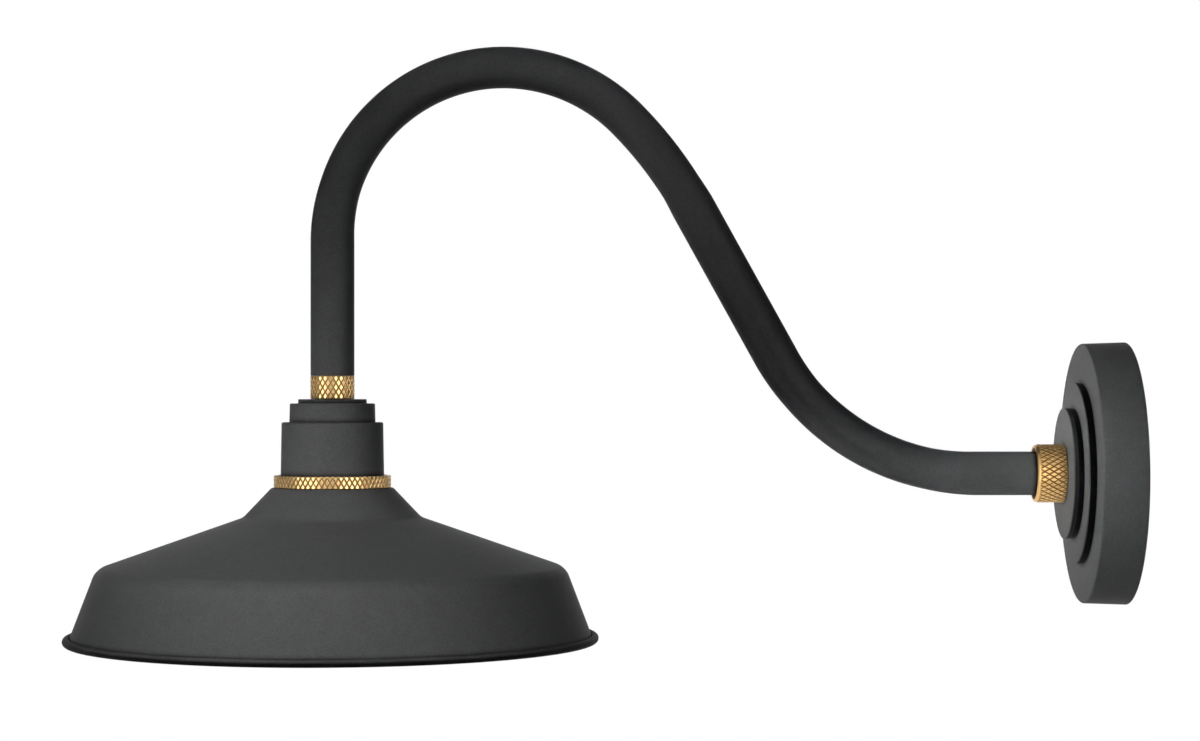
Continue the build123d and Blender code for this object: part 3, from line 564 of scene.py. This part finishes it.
# Painted light: the wall collar's brass is lighter than the other rings' brass, and more orange
wall_collar_brass_painted_lighter = knurled_brass("wall collar brass painted lighter", (0, 0, 0), wall_axis, wall_collar_radius,
                                  (-wall_collar_knurl_end, -wall_collar_knurl_start),
                                  (0.90, 0.58, 0.24), 0.36)
arm_collar_brass = knurled_brass("arm collar brass", head_centre, head_axis, arm_collar_radius,
                                 (arm_collar_low.z + ring_lip, arm_collar_high.z - ring_lip))
shade_ring_brass = knurled_brass("shade ring brass", head_centre, head_axis, shade_ring_radius,
                                 (shade_ring_low.z + ring_lip, shade_ring_high.z - ring_lip))
finishes = {
    "graphite_paint": paint,
    "knurled_brass": wall_collar_brass_painted_lighter,
    "turned_brass": plain_finish("turned brass", (0.52, 0.34, 0.14), (0.66, 0.45, 0.20), (0.22, 0.34), 1,
                                 0.3 * MM, 0.012 * MM),
    "plated_steel": plain_finish("zinc plated steel", (0.50, 0.51, 0.53), (0.62, 0.63, 0.64),
                                 (0.3, 0.45), 1, 0.4 * MM, 0.015 * MM),
    "green_steel": plain_finish("green plated steel", (0.03, 0.16, 0.06), (0.05, 0.23, 0.09),
                                (0.3, 0.42), 0.6, 0.4 * MM, 0.015 * MM),
    "black_rubber": plain_finish("black rubber", grey(0.014), grey(0.024), (0.6, 0.8), 0,
                                 0.3 * MM, 0.03 * MM),
    "porcelain": plain_finish("glazed porcelain", (0.78, 0.77, 0.73), (0.84, 0.83, 0.79), (0.1, 0.2), 0,
                              1.2 * MM, 0.02 * MM),
    "frosted_glass": frosted_glass(),
    "black_insulation": plain_finish("black lead insulation", (0.012, 0.012, 0.013), (0.02, 0.02, 0.021),
                                     (0.35, 0.5), 0, 0.3 * MM, 0.02 * MM),
    "white_insulation": plain_finish("white lead insulation", (0.70, 0.70, 0.68), (0.78, 0.78, 0.76),
                                     (0.35, 0.5), 0, 0.3 * MM, 0.02 * MM),
    "connector_plastic": plain_finish("orange connector plastic", (0.60, 0.17, 0.02), (0.72, 0.23, 0.03),
                                      (0.35, 0.5), 0, 0.5 * MM, 0.02 * MM),
    "lamp_cap_metal": plain_finish("aluminium lamp cap", (0.62, 0.62, 0.63), (0.74, 0.74, 0.75),
                                   (0.25, 0.38), 1, 0.3 * MM, 0.01 * MM),
    "lamp_glass_bead": plain_finish("black glass bead", (0.010, 0.010, 0.012), (0.018, 0.018, 0.02),
                                    (0.08, 0.16), 0, 0.8 * MM, 0.01 * MM),
}


# Knurled rings
def shape_diamond(piece, groove_radius, count):
    """Lay the open four-sided face on a ring's side, as one of so many, and raise its flat top."""
    half_turn = math.pi / count
    half_width = groove_radius * math.sin(half_turn)
    half_length = diamond_length / 2
    bpy.ops.transform.resize(value=(half_length, half_width, 1), center_override=(0, 0, 0))
    bpy.ops.transform.rotate(value=math.pi / 2, orient_axis="Y", center_override=(0, 0, 0))
    bpy.ops.mesh.normals_make_consistent(inside=False)
    bpy.ops.transform.translate(value=(groove_radius, 0, 0))
    pick(piece, lambda vertex: abs(vertex.co.y) > half_width / 2)
    bpy.ops.transform.translate(value=(groove_radius * (math.cos(half_turn) - 1), 0, 0))
    bpy.ops.mesh.select_mode(type="FACE")
    bpy.ops.mesh.select_all(action="SELECT")
    mesh = bmesh.from_edit_mesh(piece.data)
    mesh.faces.ensure_lookup_table()
    if mesh.faces[0].normal.x < 0:
        bpy.ops.mesh.flip_normals()
    slope = (1 - diamond_top) * half_width * half_length / math.hypot(half_width, half_length)
    bpy.ops.mesh.inset(thickness=slope, depth=knurl_depth)


def copy_diamond(piece, start, end, count):
    """Copy the diamond half a step along and round, then past both ends of the knurl, then round the ring."""
    rows = math.ceil((end - start) / diamond_length) + 2
    first_row = (start + end) / 2 - (rows // 2) * diamond_length
    bpy.ops.mesh.select_all(action="SELECT")
    bpy.ops.transform.translate(value=(0, 0, first_row))
    bpy.ops.mesh.duplicate()
    bpy.ops.transform.rotate(value=math.pi / count, orient_axis="Z", center_override=(0, 0, 0))
    bpy.ops.transform.translate(value=(0, 0, diamond_length / 2))
    bpy.ops.object.mode_set(mode="OBJECT")
    apply_modifier(piece, "ARRAY", count=rows, use_relative_offset=False, use_constant_offset=True,
                   constant_offset_displace=(0, 0, diamond_length))
    bpy.ops.object.mode_set(mode="EDIT")
    bpy.ops.mesh.select_all(action="SELECT")
    bpy.ops.mesh.spin(steps=count - 1, dupli=True, angle=2 * math.pi * (count - 1) / count, center=(0, 0, 0),
                      axis=(0, 0, 1))
    bpy.ops.mesh.select_all(action="SELECT")
    bpy.ops.mesh.remove_doubles(threshold=2 * same_place)


def carry_edge_on(piece, cut, loops):
    """Carry the edge at the knurl's cut on through loops given as (radius, distance along the axis)."""
    pick(piece, lambda edge: edge.is_boundary and all(abs(end.co.z - cut) < same_place for end in edge.verts),
         "edges")
    before = cut
    for number, (radius, along) in enumerate(loops):
        bpy.ops.mesh.extrude_region_move(TRANSFORM_OT_translate={"value": (0, 0, along - before)})
        if number == 0:
            bpy.ops.transform.tosphere(value=1)
        mesh = bmesh.from_edit_mesh(piece.data)
        now = max(math.hypot(vertex.co.x, vertex.co.y) for vertex in mesh.verts if vertex.select)
        bpy.ops.transform.resize(value=(radius / now, radius / now, 1), center_override=(0, 0, along))
        before = along


def knurled_ring(name, radius, start, end, count, upper_end, lower_end):
    """Model a ring about the Z axis: one diamond, copied all over, cut to length, then lips and a bore.

    The knurl runs from start to end. Each end list carries on from there, by (radius, distance), to the bore.
    """
    piece = begin_piece(name, bpy.ops.mesh.primitive_circle_add, vertices=4, radius=1, fill_type="NGON")
    shape_diamond(piece, radius - knurl_depth, count)
    copy_diamond(piece, start, end, count)
    for cut, way in ((start, -1), (end, 1)):
        bpy.ops.mesh.select_all(action="SELECT")
        bpy.ops.mesh.bisect(plane_co=(0, 0, cut), plane_no=(0, 0, way), clear_outer=True,
                            threshold=merge_reach)
    carry_edge_on(piece, start, lower_end)
    carry_edge_on(piece, end, upper_end)
    pick(piece, lambda edge: edge.is_boundary, "edges")
    bpy.ops.mesh.bridge_edge_loops()
    clean_skin()
    close_piece(piece, ring_smoothing)
    return piece


def model_wall_collar():
    """Model the wall collar: its arm end rolls over a round lip and dips to the arm's mouth."""
    arm_end = [
        (wall_collar_lip - 0.05 * MM, wall_collar_knurl_end),
        (wall_collar_lip, wall_collar_end - 1.0 * MM),
        (wall_collar_lip - 0.2 * MM, wall_collar_end - 0.4 * MM),
        (wall_collar_lip - 0.7 * MM, wall_collar_end),
        (wall_collar_lip - 1.3 * MM, wall_collar_end),
        (wall_collar_lip - 1.7 * MM, wall_collar_end - 0.3 * MM),
        (wall_collar_mouth + 0.4 * MM, wall_collar_end - 1.8 * MM),
        (wall_collar_mouth, wall_collar_end - 2.2 * MM),
        (wall_collar_mouth, wall_collar_shoulder),
        (wall_collar_thread, wall_collar_shoulder),
    ]
    wall_end = [(wall_collar_lip, wall_collar_start), (wall_collar_thread, wall_collar_start)]
    piece = knurled_ring("wall_collar_knurled", wall_collar_radius, wall_collar_knurl_start,
                         wall_collar_knurl_end, wall_collar_diamonds, arm_end, wall_end)
    put_on_wall(piece)
    return piece


def model_head_ring(name, low, high, radius, thread, mouth, shoulder, diamonds):
    """Model a ring on the head's axis between two heights, with a shoulder over its thread."""
    lip = radius - knurl_depth
    upper_end = [(lip, high), (mouth, high), (mouth, high - shoulder), (thread, high - shoulder)]
    lower_end = [(lip, low), (thread, low)]
    piece = knurled_ring(name, radius, low + ring_lip, high - ring_lip, diamonds, upper_end, lower_end)
    put_on_head(piece)
    return piece


wall_collar = model_wall_collar()
wear(wall_collar, wall_collar_brass_painted_lighter)
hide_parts("wall_collar")
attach(wall_collar, "wall_collar")

arm_collar = model_head_ring("arm_collar_knurled", arm_collar_low.z, arm_collar_high.z, arm_collar_radius,
                             arm_collar_thread, arm_collar_mouth, arm_collar_shoulder, arm_collar_diamonds)
wear(arm_collar, arm_collar_brass)
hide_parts("arm_collar")
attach(arm_collar, "arm_collar")

shade_ring = model_head_ring("shade_ring_knurled", shade_ring_low.z, shade_ring_high.z, shade_ring_radius,
                             shade_ring_thread, shade_ring_mouth, shade_ring_shoulder, shade_ring_diamonds)
wear(shade_ring, shade_ring_brass)
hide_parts("shade_ring")
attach(shade_ring, "shade_ring")


# Gooseneck arm
def along_arm(heading):
    """The way along the arm, for a heading in radians above level."""
    return Vector((0, -math.cos(heading), math.sin(heading)))


def across_arm(heading):
    """The way across the arm to its upper side, for a heading in radians above level."""
    return Vector((0, math.sin(heading), math.cos(heading)))


def run_straight(place, heading, length):
    """Carry the arm's ring straight on, in two steps; returns its new place."""
    for _ in range(2):
        bpy.ops.mesh.extrude_region_move(TRANSFORM_OT_translate={"value": along_arm(heading) * length / 2})
    return place + along_arm(heading) * length


def run_bend(place, heading, radius, degrees, flat_before, flat_after):
    """Carry the arm's ring round a bend; returns its new place and heading.

    The ring flattens over the bend's first stretch and rounds off over its last.
    """
    turn = math.radians(degrees)
    to_centre = math.copysign(radius, degrees)
    centre = place + across_arm(heading) * to_centre
    steps = max(fewest_bend_steps, round(abs(degrees) / bend_step))
    flat = flat_before
    for step in range(1, steps + 1):
        bpy.ops.mesh.spin(steps=1, angle=turn / steps, center=centre, axis=(1, 0, 0))
        done = step / steps
        heading_now = heading + turn * done
        here = centre - across_arm(heading_now) * to_centre
        rounder_before = (flat_before - bend_flatness) * max(0, 1 - done / flattening_share)
        rounder_after = (flat_after - bend_flatness) * max(0, 1 - (1 - done) / flattening_share)
        wanted = bend_flatness + max(rounder_before, rounder_after)
        bpy.ops.transform.resize(value=(1, wanted / flat, wanted / flat), center_override=here)
        flat = wanted
    return here, heading_now


def model_arm():
    """Run a ring of vertices along the arm's line, then give the skin its wall."""
    piece = begin_piece("gooseneck_tube", bpy.ops.mesh.primitive_circle_add, vertices=arm_facets,
                        radius=arm_radius)
    place = Vector((0, -tube_start, 0))
    heading = 0.0
    bpy.ops.transform.rotate(value=math.pi / 2, orient_axis="X", center_override=(0, 0, 0))
    bpy.ops.transform.translate(value=place)
    place = run_straight(place, heading, wall_run)
    place, heading = run_bend(place, heading, *wall_bend, 1, 1)
    place = run_straight(place, heading, rise_length)
    place, heading = run_bend(place, heading, *ease_bend, 1, bend_flatness)
    place, heading = run_bend(place, heading, *crown_bend, bend_flatness, bend_flatness)
    place, heading = run_bend(place, heading, *nose_bend, bend_flatness, 1)
    run_straight(place, heading, drop_length)
    clean_skin(same_place)
    close_piece(piece, arm_smoothing)
    apply_modifier(piece, "SOLIDIFY", thickness=arm_wall, offset=-1)
    bpy.ops.object.shade_smooth_by_angle(angle=math.radians(arm_smoothing))
    return piece


arm = model_arm()
wear(arm, paint)
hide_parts("gooseneck_arm")
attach(arm, "arm")


# Shade
def beside(points, gap):
    """Corners of the line that runs beside these corners, to their right."""
    sides = []
    for before, after in zip(points, points[1:]):
        way = (Vector(after) - Vector(before)).normalized()
        shift = Vector((way.y, -way.x)) * gap
        sides.append((Vector(before) + shift, way))
    corners = [tuple(sides[0][0])]
    for (first, first_way), (second, second_way) in zip(sides, sides[1:]):
        across = first_way.x * second_way.y - first_way.y * second_way.x
        apart = second - first
        along = (apart.x * second_way.y - apart.y * second_way.x) / across
        corners.append(tuple(first + first_way * along))
    return corners


def on_bead(degrees):
    """The point of the rolled rim's round at an angle, as (radius, height)."""
    angle = math.radians(degrees)
    return (rim_radius + bead_radius * math.cos(angle), rim_z + bead_radius * math.sin(angle))


def inside_face(face):
    """A face of the shade's inside: it looks inwards or down, above the middle of the rolled rim."""
    slight = 0.05
    centre = face.calc_center_median()
    outward = Vector((centre.x, centre.y, 0)).normalized()
    looks_in = face.normal.dot(outward) < -slight or face.normal.z < -0.5
    return looks_in and face.normal.z < slight and centre.z > rim_z + 0.1 * MM


def rim_face(face):
    """A face of the rolled rim, or of the groove above it."""
    centre = face.calc_center_median()
    beyond = math.hypot(centre.x, centre.y) > rim_painted_shade_radius
    return beyond and centre.z < rim_z + rim_painted_shade_rise and not inside_face(face)


def model_shade():
    """Turn the shade's section: neck, dome and skirt outside, rolled rim, and the same line inside."""
    top = shade_high.z
    outer = [(neck_bore, top), (neck_radius, top), (neck_foot_radius, top - neck_foot_drop),
             (shoulder_radius, top - shoulder_drop), (skirt_foot_radius, rim_z)]
    inner = beside(outer, shade_wall)
    down_skirt = (Vector(outer[4]) - Vector(outer[3])).normalized()
    groove_top = Vector(outer[4]) - down_skirt * groove_rise
    groove_foot = groove_top + down_skirt * groove_run - Vector((groove_depth, 0))
    piece = begin_outline("barn_shade", outer[0])
    draw_line(outer[:4] + [tuple(groove_top), tuple(groove_foot), on_bead(roll_start)])
    bpy.ops.mesh.spin(steps=roll_steps, angle=math.radians(roll_end - roll_start),
                      center=(rim_radius, 0, rim_z), axis=(0, 1, 0))
    pick(piece, at_corner(on_bead(roll_end)))
    draw_line([on_bead(roll_end)] + inner[::-1])
    pick(piece, lambda vertex: any(at_corner(corner)(vertex) for corner in (outer[0], inner[0])))
    bpy.ops.mesh.edge_face_add()
    for number, roundings in enumerate((neck_roundings, neck_foot_roundings, shoulder_roundings), 1):
        turn = turn_at(outer, number)
        for line, rounding in zip((outer, inner), roundings):
            round_corner(piece, line[number], rounding, turn, shade_corner_segments)
    turn_about_axis()
    wear(piece, paint, enamel, rim_painted_shade)
    paint_faces(piece, 1, inside_face)
    # The rolled rim and its groove get the finish with painted shade
    paint_faces(piece, 2, rim_face)
    close_piece(piece, turned_smoothing)
    put_on_head(piece)
    return piece


shade = model_shade()
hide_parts("shade")
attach(shade, "shade")


# Canopy
def drill_set_screw_holes(piece):
    """Drill the canopy's drum through at top and bottom, for the two set screws."""
    bpy.ops.object.select_all(action="DESELECT")
    bpy.ops.mesh.primitive_cylinder_add(vertices=drill_facets, radius=set_screw_radius, depth=drill_length,
                                        location=(0, -set_screw_from_wall, 0))
    drill = bpy.context.active_object
    make_active(piece)
    apply_modifier(piece, "BOOLEAN", operation="DIFFERENCE", object=drill, solver="EXACT")
    bpy.data.objects.remove(drill, do_unlink=True)


def model_canopy():
    """Turn the canopy's section, give its discs' sides painted shade, and drill it for the two set screws."""
    middle_side = middle_disc_radius - side_setback
    front_side = front_disc_radius - side_setback
    middle_lip_back = middle_disc_face - middle_disc_lip
    front_lip_back = front_disc_face - front_disc_lip
    drum_inside = drum_depth - canopy_wall
    middle_inside = middle_disc_face - canopy_wall
    front_inside = front_disc_face - canopy_wall

    # Corners by radius, distance from the wall and rounding
    corners = [
        (gasket_seat_radius, 0, 0),
        (drum_radius, 0, drum_back_rounding),
        (drum_front_radius, drum_depth, drum_front_rounding),
        (middle_side, drum_depth, 0),
        (middle_side, middle_lip_back, 0),
        (middle_disc_radius, middle_lip_back, middle_lip_back_rounding),
        (middle_disc_radius, middle_disc_face, middle_lip_front_rounding),
        (front_side, middle_disc_face, 0),
        (front_side, front_lip_back, 0),
        (front_disc_radius, front_lip_back, front_lip_back_rounding),
        (front_disc_radius, front_disc_face, front_lip_front_rounding),
        (hub_hole_radius, front_disc_face, 0),
        (hub_hole_radius, front_inside, 0),
        (front_side - canopy_wall, front_inside, 0),
        (front_side - canopy_wall, middle_inside, 0),
        (middle_side - canopy_wall, middle_inside, 0),
        (middle_side - canopy_wall, drum_inside, 0),
        (drum_bore - canopy_wall, drum_inside, 0),
        (drum_bore, gasket_seat_depth, 0),
        (gasket_seat_radius, gasket_seat_depth, 0),
    ]
    section = [corner[:2] for corner in corners]
    piece = begin_outline("stepped_canopy", section[0])
    draw_line(section + section[:1])
    for number, (radius, along, rounding) in enumerate(corners):
        if rounding:
            turn = turn_at(section, number)
            round_corner(piece, (radius, along), rounding, turn, canopy_corner_segments)
    turn_about_axis()

    def on_side(face):
        """A face of a disc's side, in front of the drum."""
        centre = face.calc_center_median()
        across = math.hypot(centre.x, centre.y)
        upright = centre.z > drum_depth and abs(face.normal.z) < 0.5
        near_side = 0.75 * side_setback
        return upright and any(abs(across - side) < near_side for side in (middle_side, front_side))

    wear(piece, paint, side_painted_shade)
    # The discs' sides get the finish with painted shade
    paint_faces(piece, 1, on_side)
    close_piece(piece, turned_smoothing)
    put_on_wall(piece)
    drill_set_screw_holes(piece)
    bpy.ops.object.shade_smooth_by_angle(angle=math.radians(turned_smoothing))
    return piece


canopy = model_canopy()
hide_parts("wall_canopy")
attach(canopy, "canopy")

# CAD nodes that keep their shape get their finishes
for entry in frame["record"]["subparts"]:
    for slot in nodes[entry["node"]].material_slots:
        slot.material = finishes[entry["material_slot"]]


# Studio
def mix_shaders(tree, share, first, second):
    """Blend two shaders by the second one's share."""
    mix = tree.nodes.new("ShaderNodeMixShader")
    tree.links.new(share, mix.inputs["Fac"])
    tree.links.new(first, mix.inputs[1])
    tree.links.new(second, mix.inputs[2])
    return mix.outputs["Shader"]


def show_backdrop(tree, on_matt, looked_at, surface):
    """Show one shader to the camera, on gloss and through glass, and the other one to matt surfaces."""
    path = tree.nodes.new("ShaderNodeLightPath")
    camera_or_gloss = larger(tree, path.outputs["Is Camera Ray"], path.outputs["Is Glossy Ray"])
    seen = larger(tree, camera_or_gloss, path.outputs["Is Transmission Ray"])
    tree.links.new(mix_shaders(tree, seen, on_matt, looked_at), surface)


def studio_paper():
    """Pale paper that takes the light's shadow and runs out into plain white."""
    material, tree, shader = begin_finish("pale studio paper", grey(paper_level), 0.9, specular=0.1)
    plain_white = add_node(tree, "ShaderNodeEmission", Color=(1, 1, 1, 1), Strength=1)
    dim_paper = add_node(tree, "ShaderNodeBsdfDiffuse", Color=(*grey(paper_on_matt), 1))
    distance = work_on(tree, "LENGTH", own_place(tree)).outputs["Value"]
    whiteness = spread(tree, distance, 0, 1, *paper_reach)
    paper = mix_shaders(tree, whiteness, shader.outputs["BSDF"], plain_white.outputs["Emission"])
    show_backdrop(tree, dim_paper.outputs["BSDF"], paper, tree.nodes["Material Output"].inputs["Surface"])
    return material


def white_studio():
    """A white backdrop behind the light and a dimmer room in front of it."""
    world = bpy.data.worlds.new("white studio")
    world.use_nodes = True
    tree = world.node_tree
    room = tree.nodes["Background"]
    room.inputs["Color"].default_value = (1, 1, 1, 1)
    room.inputs["Strength"].default_value = room_light
    backdrop = add_node(tree, "ShaderNodeBackground", Color=(1, 1, 1, 1))
    way = tree.nodes.new("ShaderNodeTexCoord").outputs["Generated"]
    backwards = work_on(tree, "DOT_PRODUCT", way, (-1, 0, 0)).outputs["Value"]
    shown = grey_ramp(tree, spread(tree, backwards, 0, 1, -1, 1), room_shown)
    to_camera = tree.nodes.new("ShaderNodeLightPath").outputs["Is Camera Ray"]
    tree.links.new(larger(tree, to_camera, shown), backdrop.inputs["Strength"])
    show_backdrop(tree, room.outputs["Background"], backdrop.outputs["Background"],
                  tree.nodes["World Output"].inputs["Surface"])
    return world


def softbox(name, aim, side, height, power, beam=150, distance=1.3, size=(0.2, 0.2), on_gloss=False):
    """A soft lamp aimed at a place, side degrees left of the camera's line and height degrees above level.

    It lights either matt surfaces or gloss, within a beam in degrees.
    """
    lamp = bpy.data.lights.new(name, "AREA")
    lamp.shape = "RECTANGLE"
    lamp.size, lamp.size_y = size
    lamp.energy = power
    lamp.spread = math.radians(beam)
    stand = bpy.data.objects.new(name, lamp)
    bpy.context.scene.collection.objects.link(stand)
    stand.visible_camera = False
    stand.visible_glossy = on_gloss
    stand.visible_diffuse = not on_gloss
    turn = math.radians(side)
    lift = math.radians(height)
    way = Vector((math.cos(lift) * math.cos(turn), -math.cos(lift) * math.sin(turn), math.sin(lift)))
    stand.location = Vector(aim) + way * distance
    stand.rotation_euler = (-way).to_track_quat("-Z", "Y").to_euler()
    return stand


# Floor below the light
floor_z = shade_low.z - floor_drop
bpy.ops.object.select_all(action="DESELECT")
bpy.ops.mesh.primitive_plane_add(size=floor_size, location=(0, head_y / 2, floor_z))
floor = bpy.context.active_object
floor.name = "studio_floor"
wear(floor, studio_paper())
bpy.context.scene.world = white_studio()

# Lamps for matt surfaces: narrow ones on single pieces, and wide ones in front and behind
softbox("key softbox", (0, -0.44, -0.11), side=10, height=22, power=0.24, beam=18, size=(0.25, 0.25))
softbox("head softbox", (0, -0.45, 0), side=40, height=10, power=0.066, beam=12)
softbox("wall softbox", (0, -0.01, 0.008), side=50, height=2, power=0.13, beam=10, size=(0.1, 0.1))
softbox("crown softbox", (0, -0.32, 0.23), side=30, height=20, power=0.06, beam=12)
softbox("fill softbox", (0, -0.25, 0.1), side=10, height=8, power=1, distance=1.6, size=(0.8, 0.9))
softbox("back softbox", (0, -0.25, 0), side=180, height=6, power=9, distance=1.6, size=(0.8, 0.9))
softbox("low softbox", (0, head_y, shade_low.z), side=0, height=-90, power=0.13, beam=15, distance=1.1)

# Large lamps that only gloss shows
softbox("left softbox", (0, -0.45, 0), side=45, height=4, power=6.5, distance=1.6, size=(1.3, 0.8),
        on_gloss=True)
softbox("right softbox", (0, -0.25, 0), side=-36, height=4, power=15, distance=1.6, size=(1.3, 1.8),
        on_gloss=True)

# A lamp from above for the floor alone, where it casts the light's shadow
floor_lamp = softbox("floor softbox", (0, head_y / 2, floor_z), side=0, height=90, power=100, distance=3.2,
                     size=(0.3, 0.3))
floor_only = bpy.data.collections.new("floor only")
floor_only.objects.link(floor)
floor_lamp.light_linking.receiver_collection = floor_only

# Camera at the photo's place
camera = bpy.data.objects.new("photo camera", bpy.data.cameras.new("photo camera"))
bpy.context.scene.collection.objects.link(camera)
camera.data.sensor_width = camera_sensor
camera.data.lens = camera_lens
camera.data.shift_x = (photo_width / 2 - axis_pixel_across) / photo_width
camera.data.shift_y = (axis_pixel_down - photo_height / 2) / photo_width
camera.location = camera_place
camera.rotation_euler = (math.pi / 2, 0, math.pi / 2)
bpy.context.scene.camera = camera
bpy.context.scene.view_settings.view_transform = "Standard"
